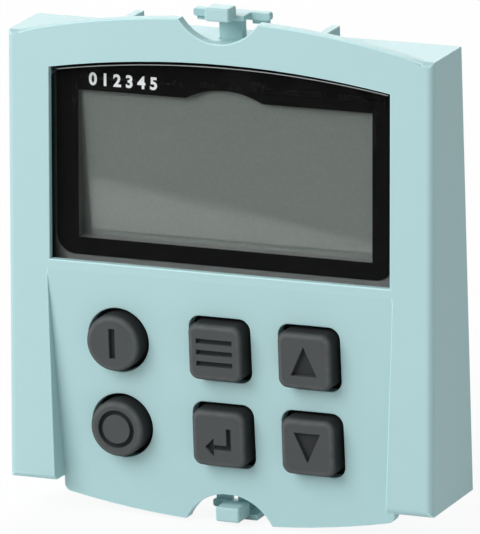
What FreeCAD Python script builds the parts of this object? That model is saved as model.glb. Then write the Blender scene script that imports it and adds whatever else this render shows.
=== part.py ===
"""Clip-on operator panel for a servo drive: a display, six rubber keys and two snap latches.

Units are millimetres. X runs to the panel's right, Y runs back into the cabinet, Z runs up.
The origin is the centre of the flat rear face, which seats on the drive's control unit.
Heights named *_height are measured up from the bottom edge of the body.
"""
import FreeCAD, Part
import math
import os

# ---------------------------------------------------------------- body
body_width = 50.0
body_height = 49.4
depth_top = 7.8
depth_bottom = 11.4
wall = 1.5
front_wall = 1.6
front_edge_radius = 0.8

# ---------------------------------------------------------------- front plate above the top wall
arch_rise = 2.8
arch_half_width = 23.6
arch_thickness = 1.3
notch_radius = 5.6
notch_floor_gap = 0.2
rib_width = 1.0
rib_offset = 11.5
rib_rise = 1.9
rib_back_gap = 2.4

# ---------------------------------------------------------------- keypad recess and apron
crease_height = 23.6
keypad_step = 2.4
column_width_crease = 4.7
column_width_bottom = 5.45
apron_thickness = 1.5
apron_corner_drop = 1.6
apron_drop = 3.65
apron_corner_radius = 0.9
apron_notch_floor = 0.3

# ---------------------------------------------------------------- window
window_side_margin = 5.0
window_sill_height = 24.65
window_head_margin = 3.7
window_arch_rise = 1.7
lens_recess = 0.8
tape_thickness = 0.1
lens_thickness = 1.0
lens_overlap = 0.5
mask_thickness = 0.1
mask_side_gap = 0.15
mask_sill_gap = 0.3
mask_corner_radius = 2.2
mask_border_side = 2.7
mask_border_sill = 2.2
mask_border_head = 2.65
mask_bump_half_width = 4.5
mask_bump_rise = 1.1
part_clearance = 0.1

# ---------------------------------------------------------------- display stack, on the circuit board
board_thickness = 1.0
board_back_depth = 2.6
board_edge_gap = 0.3
reflector_thickness = 0.1
light_guide_thickness = 0.9
polariser_thickness = 0.1
glass_thickness = 0.5
well_margin = 0.1
glass_side_margin = 1.2
glass_ledge = 0.5
contact_ledge = 1.0
frame_wall = 0.6
led_length = 1.6
led_width = 0.6
led_spacing = 8.0

# ---------------------------------------------------------------- keys
key_row_upper_height = 16.15
key_row_pitch = 9.7
key_column_left = -12.2
key_column_middle = -0.1
key_column_right = 10.4
key_opening = 7.2
key_opening_corner = 1.3
key_gap = 0.45
key_proud = 1.7
key_edge_radius = 0.5
key_flange_overlap = 0.4
key_flange_thickness = 0.8
key_flange_gap = 0.3
key_stem_radius = 2.2
key_travel = 1.0
pill_radius = 1.7
pill_thickness = 0.3
pill_end_gap = 0.1
pad_radius = 1.7
pad_split = 0.3
pad_thickness = 0.05
mat_thickness = 1.0
mat_top_height = 22.4
mat_bottom_height = 2.0
mat_side_gap = 0.5
mat_hole_clearance = 0.45
mat_collar_height = 0.7
mat_collar_width = 0.6

# ---------------------------------------------------------------- engraved symbols on the keys
symbol_depth = 0.25
bar_width = 0.66
bar_length = 3.3
ring_radius = 2.1
ring_width = 0.47
triangle_base = 3.0
triangle_height = 3.2
line_width = 0.5
menu_length = 4.2
menu_pitch = 1.25
arrow_length = 3.0
arrow_rise = 1.9
arrow_head = 0.95

# ---------------------------------------------------------------- latches
latch_width = 2.7
latch_thickness = 1.2
latch_travel = 1.0
latch_slot_gap = 0.15
latch_foot_width = 4.0
latch_foot_height = 0.7
latch_foot_gap = 0.3
latch_bar_width = 9.0
latch_bar_height = 0.9
latch_bar_thickness = 0.9
latch_lug_width = 2.2
latch_lug_drop = 0.45
latch_ledge_width = 4.6
latch_ledge_thickness = 0.6
latch_thumb_width = 2.8
latch_thumb_radius = 0.25
latch_guide_gap = 0.1
latch_guide_width = 0.8
top_stem_back = 3.1
top_bar_reach = 3.05
top_ledge_front = 5.9
top_thumb_front = 7.8
top_thumb_height = 1.5
top_thumb_reach = 4.15
bottom_stem_back = 2.3
bottom_bar_reach = 3.75
bottom_ledge_front = 6.6
bottom_thumb_front = 9.4
bottom_thumb_height = 1.65
bottom_thumb_reach = 3.35

# ---------------------------------------------------------------- rear cover, screws and socket
cover_thickness = 1.3
cover_gap = 0.15
screw_inset = 3.4
screw_inset_z = 4.0
screw_radius = 0.75
screw_length = 4.7
screw_head_radius = 1.3
screw_head_height = 0.8
screw_head_sink = 0.1
screw_head_gap = 0.1
screw_cross_width = 0.35
screw_cross_length = 1.6
screw_cross_depth = 0.4
boss_radius = 1.4
boss_length = 2.4
board_hole_radius = 0.9
socket_width = 9.6
socket_height = 4.2
socket_centre_height = 11.0
socket_face_gap = 0.3
socket_pitch = 1.6
socket_columns = 5
socket_rows = 2
socket_hole = 0.7
socket_hole_depth = 1.6
socket_pin = 0.4
cover_cut_gap = 0.3
label_width = 28.0
label_height = 12.0
label_corner = 1.0
label_depth = 0.25
label_centre_height = 36.5

# ---------------------------------------------------------------- parts on the back of the board
chip_height = 1.0
chip_gap_height = 28.0
controller_size = 7.0
memory_width = 3.9
memory_length = 4.9
regulator_width = 3.5
regulator_length = 6.5
crystal_width = 2.5
crystal_length = 3.2
crystal_height = 0.7
small_length = 1.6
small_width = 0.8
small_height = 0.5
small_pitch = 2.6
small_count = 6

# ---------------------------------------------------------------- values worked out from the above
half_width = body_width / 2
bottom = -body_height / 2
top = body_height / 2
inner_half = half_width - wall
lean = (depth_bottom - depth_top) / body_height
crease = bottom + crease_height
sill = bottom + window_sill_height
head = top - window_head_margin
window_half = half_width - window_side_margin
lens_front = lens_recess + tape_thickness
lens_back = lens_front + lens_thickness
mask_back = lens_back + mask_thickness
board_front = -board_back_depth - board_thickness
board_back = -board_back_depth
view_half = window_half - mask_border_side
view_bottom = sill + mask_border_sill
view_top = head - mask_border_head
display_back = board_front
reflector_front = display_back - reflector_thickness
light_guide_front = reflector_front - light_guide_thickness
rear_polariser_front = light_guide_front - polariser_thickness
rear_glass_front = rear_polariser_front - glass_thickness
front_glass_front = rear_glass_front - glass_thickness
display_front = front_glass_front - polariser_thickness
well_half = view_half + well_margin
well_bottom = view_bottom - well_margin
well_top = view_top + mask_bump_rise + well_margin
glass_half = view_half + glass_side_margin
glass_bottom = well_bottom - contact_ledge
glass_top = well_top + glass_ledge
cap_half = key_opening / 2 - key_gap
flange_half = key_opening / 2 + key_flange_overlap
cover_half_width = inner_half - cover_gap
cover_inner = -cover_thickness
socket_centre = bottom + socket_centre_height
key_row_upper = bottom + key_row_upper_height
key_row_lower = key_row_upper - key_row_pitch
beyond = 20.0

KEYS = {
    "key_on": (key_column_left, key_row_upper, "round", "bar"),
    "key_off": (key_column_left, key_row_lower, "round", "ring"),
    "key_function": (key_column_middle, key_row_upper, "square", "menu"),
    "key_parameter": (key_column_middle, key_row_lower, "square", "return"),
    "key_up": (key_column_right, key_row_upper, "square", "up"),
    "key_down": (key_column_right, key_row_lower, "square", "down"),
}


def front_y(z):
    """Y of the leaning front face at height z."""
    return -depth_bottom + lean * (z - bottom)


def keypad_y(z):
    """Y of the keypad face, which runs back from the crease to the bottom edge."""
    low = -depth_bottom + keypad_step
    high = front_y(crease)
    return low + (high - low) * (z - bottom) / (crease - bottom)


def vec(x, y, z):
    return FreeCAD.Vector(x, y, z)


def block(x0, x1, y0, y1, z0, z1):
    return Part.makeBox(x1 - x0, y1 - y0, z1 - z0, vec(x0, y0, z0))


def rod(x, z, radius, y0, y1):
    """A cylinder along Y."""
    return Part.makeCylinder(radius, y1 - y0, vec(x, y0, z), vec(0, 1, 0))


def side_profile(points, x0, x1):
    """A prism along X from (y, z) points."""
    wire = Part.makePolygon([vec(x0, y, z) for y, z in points + points[:1]])
    return Part.Face(wire).extrude(vec(x1 - x0, 0, 0))


def front_profile(points, y0, y1):
    """A prism along Y from (x, z) points."""
    wire = Part.makePolygon([vec(x, y0, z) for x, z in points + points[:1]])
    return Part.Face(wire).extrude(vec(0, y1 - y0, 0))


def arched_prism(half, z0, z1, rise, y0, y1):
    """A prism along Y: a rectangle whose top edge is an arc that rises above its corners."""
    a = vec(-half, y0, z0)
    b = vec(half, y0, z0)
    c = vec(half, y0, z1)
    d = vec(-half, y0, z1)
    arc = Part.Arc(c, vec(0, y0, z1 + rise), d).toShape()
    wire = Part.Wire([Part.makeLine(a, b), Part.makeLine(b, c), arc, Part.makeLine(d, a)])
    return Part.Face(wire).extrude(vec(0, y1 - y0, 0))


def round_y_edges(shape, radius, keep=lambda x, z: True):
    """Fillet the edges that run along Y and that keep(x, z) picks."""
    edges = []
    for edge in shape.Edges:
        ends = [v.Point for v in edge.Vertexes]
        if len(ends) != 2:
            continue
        run = ends[1] - ends[0]
        along_y = abs(run.x) < 1e-6 and abs(run.z) < 1e-6
        if along_y and keep(ends[0].x, ends[0].z):
            edges.append(edge)
    return shape.makeFillet(radius, edges)


def front_edges(shape, y):
    """The edges that lie on the plane at the given y."""
    return [e for e in shape.Edges if all(abs(v.Y - y) < 1e-6 for v in e.Vertexes)]


def rounded_square(x, z, half, corner, y0, y1):
    solid = block(x - half, x + half, y0, y1, z - half, z + half)
    return round_y_edges(solid, corner)


def behind_front(offset, thickness, z0=bottom - beyond, z1=top + beyond):
    """The slab that lies from offset to offset + thickness behind the leaning front face."""
    near = [(front_y(z0) + offset, z0), (front_y(z1) + offset, z1)]
    far = [(front_y(z1) + offset + thickness, z1), (front_y(z0) + offset + thickness, z0)]
    return side_profile(near + far, -half_width - beyond, half_width + beyond)


def key_shape(kind, x, z, half, corner, y0, y1):
    """The plan of a key or of its opening, as a prism along Y."""
    if kind == "round":
        return rod(x, z, half, y0, y1)
    return rounded_square(x, z, half, corner, y0, y1)


def screw_places():
    x = half_width - screw_inset
    return [(sx * x, sz) for sx in (-1, 1) for sz in (bottom + screw_inset_z, top - screw_inset_z)]


# ================================================================ housing
def housing_block():
    profile = [(0, bottom), (0, top), (-depth_top, top), (-depth_bottom, bottom)]
    solid = side_profile(profile, -half_width, half_width)
    edges = []
    for edge in solid.Edges:
        ends = [v.Point for v in edge.Vertexes]
        if all(p.y < -depth_top + 1e-6 and abs(p.x) > half_width - 1e-6 for p in ends):
            edges.append(edge)
    return solid.makeFillet(front_edge_radius, edges)


def housing_arch():
    """The front plate's part that stands above the top wall."""
    outline = arched_prism(arch_half_width, top - wall, top, arch_rise, -beyond, 0)
    plate = outline.common(behind_front(0, arch_thickness))
    notch_centre = top + notch_floor_gap + notch_radius
    return plate.cut(rod(0, notch_centre, notch_radius, -beyond, 0))


def housing_ribs():
    ribs = []
    for side in (-1, 1):
        x = side * rib_offset
        front = front_y(top) + arch_thickness / 2
        ribs.append(block(x - rib_width / 2, x + rib_width / 2, front, -rib_back_gap,
                          top - wall / 2, top + rib_rise))
    return ribs


def housing_apron():
    """The keypad plate's part that hangs below the bottom wall, with its lower edge an arc."""
    half = half_width - column_width_bottom
    y0 = -beyond
    low = bottom - apron_corner_drop
    high = bottom + wall
    corners = [vec(half, y0, low), vec(half, y0, high), vec(-half, y0, high), vec(-half, y0, low)]
    lines = [Part.makeLine(corners[i], corners[i + 1]) for i in range(3)]
    arc = Part.Arc(corners[3], vec(0, y0, bottom - apron_drop), corners[0]).toShape()
    prism = Part.Face(Part.Wire(lines + [arc])).extrude(vec(0, beyond, 0))
    prism = round_y_edges(prism, apron_corner_radius, lambda x, z: z < bottom)
    z0 = bottom - apron_drop - wall
    near = [(keypad_y(z0), z0), (keypad_y(high), high)]
    far = [(keypad_y(high) + apron_thickness, high), (keypad_y(z0) + apron_thickness, z0)]
    plate = prism.common(side_profile(near + far, -half_width, half_width))
    notch_centre = bottom - apron_notch_floor - notch_radius
    return plate.cut(rod(0, notch_centre, notch_radius, -beyond, 0))


def keypad_recess():
    """What the moulding leaves open in front of the keypad face, between the two columns."""
    low = bottom - beyond / 2
    slope = (column_width_bottom - column_width_crease) / crease_height
    half_low = half_width - column_width_bottom - slope * (bottom - low)
    half_high = half_width - column_width_crease
    plan = front_profile([(-half_low, low), (half_low, low), (half_high, crease),
                          (-half_high, crease)], -beyond, 0)
    near = [(-beyond, low), (keypad_y(low), low), (keypad_y(crease), crease), (-beyond, crease)]
    return plan.common(side_profile(near, -half_width, half_width))


def housing_cavity():
    """The hollow behind the front wall, open at the back."""
    low = bottom + wall
    high = top - wall
    points = [(1, low), (keypad_y(low) + front_wall, low), (keypad_y(crease) + front_wall, crease),
              (front_y(high) + front_wall, high), (1, high)]
    hollow = side_profile(points, -inner_half, inner_half)
    column_inner = half_width - column_width_crease + front_wall
    z1 = crease
    core = [(-wall, low), (front_y(low) + front_wall, low), (front_y(z1) + front_wall, z1),
            (-wall, z1)]
    for x0, x1 in ((-inner_half, -column_inner), (column_inner, inner_half)):
        hollow = hollow.fuse(side_profile(core, x0, x1))
    return hollow


def window_prism(grow, y0, y1):
    return arched_prism(window_half + grow, sill - grow, head + grow, window_arch_rise, y0, y1)


def latch_slot(stem_back, z0, z1):
    half = latch_width / 2 + latch_slot_gap
    y1 = -stem_back + latch_slot_gap
    y0 = -stem_back - latch_thickness - latch_slot_gap
    return block(-half, half, y0, y1, z0, z1)


def screw_bosses():
    bosses = []
    for x, z in screw_places():
        boss = rod(x, z, boss_radius, board_front - boss_length, board_front)
        side = math.copysign(1, x)
        x0, x1 = sorted((x, side * (inner_half + wall / 2)))
        web = block(x0, x1, board_front - boss_length, board_front, z - boss_radius, z + boss_radius)
        bosses.append(boss.fuse(web))
    return bosses


def make_front_housing():
    shell = housing_block().fuse(housing_apron())
    shell = shell.cut(keypad_recess())
    shell = shell.cut(housing_cavity())
    shell = shell.fuse([housing_arch()] + housing_ribs() + screw_bosses())
    cuts = [window_prism(0, -beyond, board_front)]
    rebate = window_prism(lens_overlap + part_clearance, -beyond, board_front)
    cuts.append(rebate.common(behind_front(lens_recess, beyond)))
    for x, z, kind, _ in KEYS.values():
        cuts.append(key_shape(kind, x, z, key_opening / 2, key_opening_corner, -beyond,
                              board_front))
    cuts.append(latch_slot(top_stem_back, top - 2 * wall, top + wall / 2))
    cuts.append(latch_slot(bottom_stem_back, bottom - wall / 2, bottom + 2 * wall))
    for x, z in screw_places():
        cuts.append(rod(x, z, screw_radius, board_front - boss_length, board_front))
    for cut in cuts:
        shell = shell.cut(cut)
    return shell.removeSplitter()


# ================================================================ rear cover and screws
def make_rear_cover():
    z0 = bottom + wall + cover_gap
    z1 = top - wall - cover_gap
    cover = block(-cover_half_width, cover_half_width, cover_inner, 0, z0, z1)
    adds = []
    for x, z in screw_places():
        adds.append(rod(x, z, boss_radius, board_back, cover_inner))
    guide = latch_foot_width / 2 + latch_guide_gap
    for stem_back, low, high in guide_spans():
        for side in (-1, 1):
            x0, x1 = sorted((side * guide, side * (guide + latch_guide_width)))
            adds.append(block(x0, x1, -stem_back - latch_thickness / 2, cover_inner, low, high))
    cover = cover.fuse(adds)
    for x, z in screw_places():
        cover = cover.cut(rod(x, z, board_hole_radius, board_back, 1))
        head_floor = -screw_head_sink - screw_head_height
        cover = cover.cut(rod(x, z, screw_head_radius + screw_head_gap, head_floor, 1))
    half_x = socket_width / 2 + cover_cut_gap
    half_z = socket_height / 2 + cover_cut_gap
    cover = cover.cut(block(-half_x, half_x, cover_inner - 1, 1, socket_centre - half_z,
                            socket_centre + half_z))
    label_z = bottom + label_centre_height
    label = block(-label_width / 2, label_width / 2, -label_depth, 1, label_z - label_height / 2,
                  label_z + label_height / 2)
    cover = cover.cut(round_y_edges(label, label_corner))
    return cover.removeSplitter()


def guide_spans():
    """Depth and height span of the guide cheeks beside the top and bottom latch feet."""
    inset = wall + cover_gap
    reach = latch_foot_gap + latch_foot_height + latch_travel
    return [(top_stem_back, top - wall - reach, top - inset),
            (bottom_stem_back, bottom + inset, bottom + wall + reach)]


def make_cover_screws():
    screws = []
    head_back = -screw_head_sink
    head_front = head_back - screw_head_height
    for x, z in screw_places():
        screw = rod(x, z, screw_head_radius, head_front, head_back)
        screw = screw.fuse(rod(x, z, screw_radius, head_front - screw_length, head_front))
        half = screw_cross_length / 2
        thin = screw_cross_width / 2
        floor = head_back - screw_cross_depth
        screw = screw.cut(block(x - half, x + half, floor, 1, z - thin, z + thin))
        screw = screw.cut(block(x - thin, x + thin, floor, 1, z - half, z + half))
        screws.append(screw)
    return Part.makeCompound(screws)


# ================================================================ window and display
def make_display_lens():
    return window_prism(lens_overlap, -beyond, 0).common(behind_front(lens_front, lens_thickness))


def make_lens_tape():
    ring = window_prism(lens_overlap, -beyond, 0).cut(window_prism(part_clearance, -beyond, 0))
    return ring.common(behind_front(lens_recess, tape_thickness))


def view_prism(y0, y1):
    """The clear area of the printed mask, with a shallow arc in the middle of its top edge."""
    area = block(-view_half, view_half, y0, y1, view_bottom, view_top)
    a = vec(-mask_bump_half_width, y0, view_top)
    b = vec(0, y0, view_top + mask_bump_rise)
    c = vec(mask_bump_half_width, y0, view_top)
    bump = Part.Face(Part.Wire([Part.Arc(a, b, c).toShape(), Part.makeLine(c, a)]))
    return area.fuse(bump.extrude(vec(0, y1 - y0, 0))).removeSplitter()


def make_display_mask():
    half = window_half - mask_side_gap
    sheet = arched_prism(half, sill + mask_sill_gap, head, window_arch_rise, -beyond, 0)
    sheet = round_y_edges(sheet, mask_corner_radius, lambda x, z: z < view_bottom)
    sheet = sheet.common(behind_front(lens_back, mask_thickness))
    return sheet.cut(view_prism(-beyond, 0))


def make_display_frame():
    half = window_half + lens_overlap / 5
    high = glass_top + frame_wall
    low = sill - lens_overlap * 0.8
    outer = block(-half, half, -beyond, display_back, low, high)
    outer = outer.common(behind_front(mask_back, beyond))
    well = block(-well_half, well_half, -beyond, 0, well_bottom, well_top)
    seat = block(-glass_half - part_clearance, glass_half + part_clearance,
                 display_front, 0, glass_bottom - part_clearance, glass_top + part_clearance)
    leds = [block(x0 - part_clearance, x1 + part_clearance, light_guide_front, 0,
                  z0 - part_clearance, z1 + part_clearance) for x0, x1, z0, z1 in led_places()]
    frame = outer.cut(well).cut(seat)
    for pocket in leds:
        frame = frame.cut(pocket)
    return frame.removeSplitter()


def sheet(half, z0, z1, y0, y1):
    return block(-half, half, y0, y1, z0, z1)


def led_places():
    x0 = glass_half + part_clearance
    middle = (view_bottom + view_top) / 2
    places = []
    for side in (-1, 1):
        z = middle + side * led_spacing / 2
        places.append((x0, x0 + led_width, z - led_length / 2, z + led_length / 2))
    return places


def make_display_stack():
    """Films, glasses, light guide, lamps and contact strips, keyed by node name."""
    low = well_bottom
    high = well_top
    half = view_half + glass_side_margin / 2
    strips = []
    strip_back = display_back
    for z0, z1 in ((glass_bottom, low - part_clearance), (high + part_clearance, glass_top)):
        strips.append(sheet(half, z0, z1, rear_glass_front, strip_back))
    lamps = [block(x0, x1, light_guide_front + part_clearance, display_back, z0, z1)
             for x0, x1, z0, z1 in led_places()]
    return {
        "front_polariser": sheet(well_half, low, high, display_front, front_glass_front),
        "lcd_front_glass": sheet(glass_half, glass_bottom, glass_top, front_glass_front,
                                 rear_glass_front),
        "lcd_rear_glass": sheet(glass_half, low, high, rear_glass_front, rear_polariser_front),
        "rear_polariser": sheet(well_half, low, high, rear_polariser_front, light_guide_front),
        "light_guide": sheet(glass_half, low, high, light_guide_front, reflector_front),
        "reflector_film": sheet(glass_half, low, high, reflector_front, display_back),
        "contact_strips": Part.makeCompound(strips),
        "backlight_leds": Part.makeCompound(lamps),
    }


# ================================================================ circuit board
def make_circuit_board():
    half = inner_half - board_edge_gap
    board = block(-half, half, board_front, board_back, bottom + wall + board_edge_gap,
                  top - wall - board_edge_gap)
    for x, z in screw_places():
        board = board.cut(rod(x, z, board_hole_radius, -beyond, 0))
    slot = latch_foot_width / 2 + latch_guide_gap + latch_guide_width + board_edge_gap
    for _, low, high in guide_spans():
        board = board.cut(block(-slot, slot, -beyond, 0, low - board_edge_gap,
                                high + board_edge_gap))
    return board.removeSplitter()


def make_keypad_contacts():
    """Under each key, two half discs with a gap between them."""
    pads = []
    for x, z, _, _ in KEYS.values():
        disc = rod(x, z, pad_radius, board_front - pad_thickness, board_front)
        split = block(x - pad_split / 2, x + pad_split / 2, -beyond, 0, z - pad_radius * 2,
                      z + pad_radius * 2)
        pads.extend(disc.cut(split).Solids)
    return Part.makeCompound(pads)


def on_board(x, z, width, length, height):
    return block(x - width / 2, x + width / 2, board_back, board_back + height,
                 z - length / 2, z + length / 2)


def make_board_parts():
    z = bottom + chip_gap_height
    side = half_width / 2
    parts = {
        "controller_chip": on_board(0, z, controller_size, controller_size, chip_height),
        "memory_chip": on_board(side, z, memory_width, memory_length, chip_height),
        "voltage_regulator": on_board(-side, z, regulator_width, regulator_length, chip_height),
        "crystal": on_board(side / 2, z + controller_size, crystal_length, crystal_width,
                            crystal_height),
    }
    for name, row in (("chip_resistors", -1), ("chip_capacitors", 1)):
        group = []
        for i in range(small_count):
            x = (i - (small_count - 1) / 2) * small_pitch
            z_row = socket_centre + row * (socket_height / 2 + small_pitch)
            group.append(on_board(x, z_row, small_width, small_length, small_height))
        parts[name] = Part.makeCompound(group)
    return parts


def socket_places():
    for i in range(socket_columns):
        for j in range(socket_rows):
            x = (i - (socket_columns - 1) / 2) * socket_pitch
            z = socket_centre + (j - (socket_rows - 1) / 2) * socket_pitch
            yield x, z


def make_rear_socket():
    face = -socket_face_gap
    half_x = socket_width / 2
    half_z = socket_height / 2
    body = block(-half_x, half_x, board_back, face, socket_centre - half_z, socket_centre + half_z)
    half = socket_hole / 2
    pin = socket_pin / 2
    pins = []
    for x, z in socket_places():
        body = body.cut(block(x - half, x + half, face - socket_hole_depth, 1, z - half, z + half))
        pins.append(block(x - half, x + half, face - socket_hole_depth,
                          face - socket_hole_depth / 2, z - half, z - half + pin / 2))
    return body, Part.makeCompound(pins)


# ================================================================ keypad
def make_keypad_mat():
    """Silicone sheet on the board, with a raised collar round the foot of each key."""
    half = half_width - screw_inset - boss_radius - mat_side_gap
    front = board_front - mat_thickness
    mat = block(-half, half, front, board_front, bottom + mat_bottom_height,
                bottom + mat_top_height)
    hole = key_stem_radius + mat_hole_clearance
    collars = [rod(x, z, hole + mat_collar_width, front - mat_collar_height, front)
               for x, z, _, _ in KEYS.values()]
    mat = mat.fuse(collars)
    for x, z, _, _ in KEYS.values():
        mat = mat.cut(rod(x, z, hole, -beyond, 0))
    return mat.removeSplitter()


def symbol(kind, x, z, y0, y1):
    """The engraved mark of a key, as a solid to cut from its face."""
    if kind == "bar":
        return block(x - bar_width / 2, x + bar_width / 2, y0, y1, z - bar_length / 2,
                     z + bar_length / 2)
    if kind == "ring":
        return rod(x, z, ring_radius, y0, y1).cut(rod(x, z, ring_radius - ring_width, y0, y1))
    if kind in ("up", "down"):
        tip = triangle_height / 2 if kind == "up" else -triangle_height / 2
        half = triangle_base / 2
        return front_profile([(x - half, z - tip), (x + half, z - tip), (x, z + tip)], y0, y1)
    if kind == "menu":
        bars = [block(x - menu_length / 2, x + menu_length / 2, y0, y1,
                      z + i * menu_pitch - line_width / 2, z + i * menu_pitch + line_width / 2)
                for i in (-1, 0, 1)]
        return Part.makeCompound(bars)
    return return_arrow(x, z, y0, y1)


def return_arrow(x, z, y0, y1):
    """An arrow that comes down and turns to the left."""
    half = arrow_length / 2
    shaft_z = z - arrow_rise / 2
    line = line_width / 2
    drop = block(x + half - line_width, x + half, y0, y1, shaft_z - line, z + arrow_rise / 2 + line)
    run = block(x - half + arrow_head, x + half, y0, y1, shaft_z - line, shaft_z + line)
    head = front_profile([(x - half, shaft_z), (x - half + arrow_head, shaft_z - arrow_head),
                          (x - half + arrow_head, shaft_z + arrow_head)], y0, y1)
    return drop.fuse([run, head]).removeSplitter()


def make_key(x, z, kind, mark):
    """A key's cap, flange and stem in one piece, and the carbon pill on the stem's end."""
    face = keypad_y(z) - key_proud
    flange_front = keypad_y(z) + front_wall + key_flange_gap
    flange_back = flange_front + key_flange_thickness
    pill_back = board_front - pad_thickness - pill_end_gap - key_travel
    stem_back = pill_back - pill_thickness
    corner = key_opening_corner - key_gap / 2
    cap = key_shape(kind, x, z, cap_half, corner, face, flange_front)
    cap = cap.makeFillet(key_edge_radius, front_edges(cap, face))
    flange = key_shape(kind, x, z, flange_half, key_opening_corner, flange_front, flange_back)
    stem = rod(x, z, key_stem_radius, flange_back, stem_back)
    key = cap.fuse([flange, stem])
    key = key.cut(symbol(mark, x, z, face - 1, face + symbol_depth)).removeSplitter()
    pill = rod(x, z, pill_radius, stem_back, pill_back)
    return key, pill


# ================================================================ latches
def make_latch(edge, out, stem_back, bar_reach, ledge_front, thumb_front, thumb_height,
               thumb_reach):
    """A snap latch: a foot inside, a stem through the wall, a cross bar and a thumb block.

    edge is the height of the body's edge and out is +1 or -1, the way the latch stands out.
    """
    def piece(half, y0, y1, low, high):
        z0, z1 = sorted((edge + out * low, edge + out * high))
        return block(-half, half, y0, y1, z0, z1)

    stem_y0 = -stem_back - latch_thickness
    stem_y1 = -stem_back
    foot_high = -wall - latch_foot_gap
    foot_low = foot_high - latch_foot_height
    foot = piece(latch_foot_width / 2, stem_y0, stem_y1, foot_low, foot_high)
    stem = piece(latch_width / 2, stem_y0, stem_y1, foot_low, bar_reach)
    bar_low = bar_reach - latch_bar_height
    bar_y0 = stem_y1 - latch_bar_thickness
    bar = piece(latch_bar_width / 2, bar_y0, stem_y1, bar_low, bar_reach)
    bar = round_y_edges(bar, latch_bar_height / 3)
    ledge = piece(latch_ledge_width / 2, -ledge_front, bar_y0, bar_reach - latch_ledge_thickness,
                  bar_reach)
    thumb = piece(latch_thumb_width / 2, -thumb_front, -ledge_front + latch_thumb_radius,
                  thumb_reach - thumb_height, thumb_reach)
    thumb = thumb.makeFillet(latch_thumb_radius, thumb.Edges)
    neck = piece(latch_thumb_width / 2 - latch_thumb_radius,
                 -thumb_front + latch_thumb_radius * 2, bar_y0,
                 max(bar_low, thumb_reach - thumb_height) + latch_thumb_radius,
                 min(bar_reach, thumb_reach) - latch_thumb_radius / 2)
    lugs = []
    for side in (-1, 1):
        x0, x1 = sorted((side * (latch_bar_width / 2 - latch_lug_width),
                         side * (latch_bar_width / 2 - latch_bar_height / 3)))
        z0, z1 = sorted((edge + out * (bar_low - latch_lug_drop), edge + out * bar_reach))
        lugs.append(block(x0, x1, bar_y0 + latch_bar_thickness / 3, stem_y1, z0, z1))
    return stem.fuse([foot, bar, ledge, thumb, neck] + lugs).removeSplitter()


# ================================================================ write the parts
def make_parts():
    parts = {
        "front_housing": make_front_housing(),
        "rear_cover": make_rear_cover(),
        "cover_screws": make_cover_screws(),
        "display_lens": make_display_lens(),
        "lens_tape": make_lens_tape(),
        "display_mask": make_display_mask(),
        "display_frame": make_display_frame(),
        "circuit_board": make_circuit_board(),
        "keypad_contacts": make_keypad_contacts(),
        "keypad_mat": make_keypad_mat(),
        "latch_top": make_latch(top, 1, top_stem_back, top_bar_reach, top_ledge_front,
                                top_thumb_front, top_thumb_height, top_thumb_reach),
        "latch_bottom": make_latch(bottom, -1, bottom_stem_back, bottom_bar_reach,
                                   bottom_ledge_front, bottom_thumb_front, bottom_thumb_height,
                                   bottom_thumb_reach),
    }
    parts["rear_socket"], parts["socket_contacts"] = make_rear_socket()
    parts.update(make_display_stack())
    parts.update(make_board_parts())
    for name, (x, z, kind, mark) in KEYS.items():
        parts[name], parts[name + "_pill"] = make_key(x, z, kind, mark)
    return parts


def main():
    os.makedirs("parts", exist_ok=True)
    for name, shape in make_parts().items():
        shape.exportStep("parts/" + name + ".step")
        print(name, "solids", len(shape.Solids), "valid", shape.isValid(),
              "volume", round(shape.Volume, 3))


main()
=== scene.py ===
"""Looks of a clip-on operator panel: housing, window, six rubber keys and two snap latches."""
import math

import bmesh
import bpy
import numpy as np
from bpy.props import (FloatProperty, FloatVectorProperty, IntProperty, PointerProperty,
                       StringProperty)
from mathutils import Matrix, Vector


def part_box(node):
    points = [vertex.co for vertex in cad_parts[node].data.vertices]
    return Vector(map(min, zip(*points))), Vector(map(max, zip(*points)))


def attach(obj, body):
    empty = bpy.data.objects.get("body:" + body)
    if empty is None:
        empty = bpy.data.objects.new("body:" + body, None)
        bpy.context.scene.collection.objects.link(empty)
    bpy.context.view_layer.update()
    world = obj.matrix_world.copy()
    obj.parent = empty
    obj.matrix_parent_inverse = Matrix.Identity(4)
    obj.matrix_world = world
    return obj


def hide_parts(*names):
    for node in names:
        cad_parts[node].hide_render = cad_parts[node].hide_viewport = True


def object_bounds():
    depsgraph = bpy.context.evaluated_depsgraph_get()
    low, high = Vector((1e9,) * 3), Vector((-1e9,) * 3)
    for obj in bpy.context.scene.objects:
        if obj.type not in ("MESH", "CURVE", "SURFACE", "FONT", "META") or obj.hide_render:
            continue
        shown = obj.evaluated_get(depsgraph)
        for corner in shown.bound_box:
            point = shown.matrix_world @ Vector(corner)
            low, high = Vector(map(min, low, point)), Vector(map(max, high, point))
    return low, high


bl_info = {
    "name": "Operator panel looks",
    "version": (1, 0, 0),
    "blender": (4, 5, 0),
    "location": "3D View > Sidebar > Operator panel",
    "description": "Builds the visible pieces, finishes and stage of a clip-on operator panel",
    "category": "Object",
}

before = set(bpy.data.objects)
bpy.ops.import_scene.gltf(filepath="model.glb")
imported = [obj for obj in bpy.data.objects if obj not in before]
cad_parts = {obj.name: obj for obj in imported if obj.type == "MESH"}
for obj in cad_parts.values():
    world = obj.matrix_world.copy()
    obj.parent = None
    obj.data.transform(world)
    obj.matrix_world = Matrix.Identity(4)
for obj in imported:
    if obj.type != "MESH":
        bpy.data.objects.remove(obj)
cad_low, cad_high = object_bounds()
MM = 0.001

# The body is this much deeper at its foot than at its top, over its height, in millimetres.
DEPTH_GAIN, BODY_HEIGHT = 3.6, 49.4
LEAN = math.atan2(DEPTH_GAIN, BODY_HEIGHT)
SIDE_COLUMN = 0.0014                # from the body's side in to the end of the arch

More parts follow.
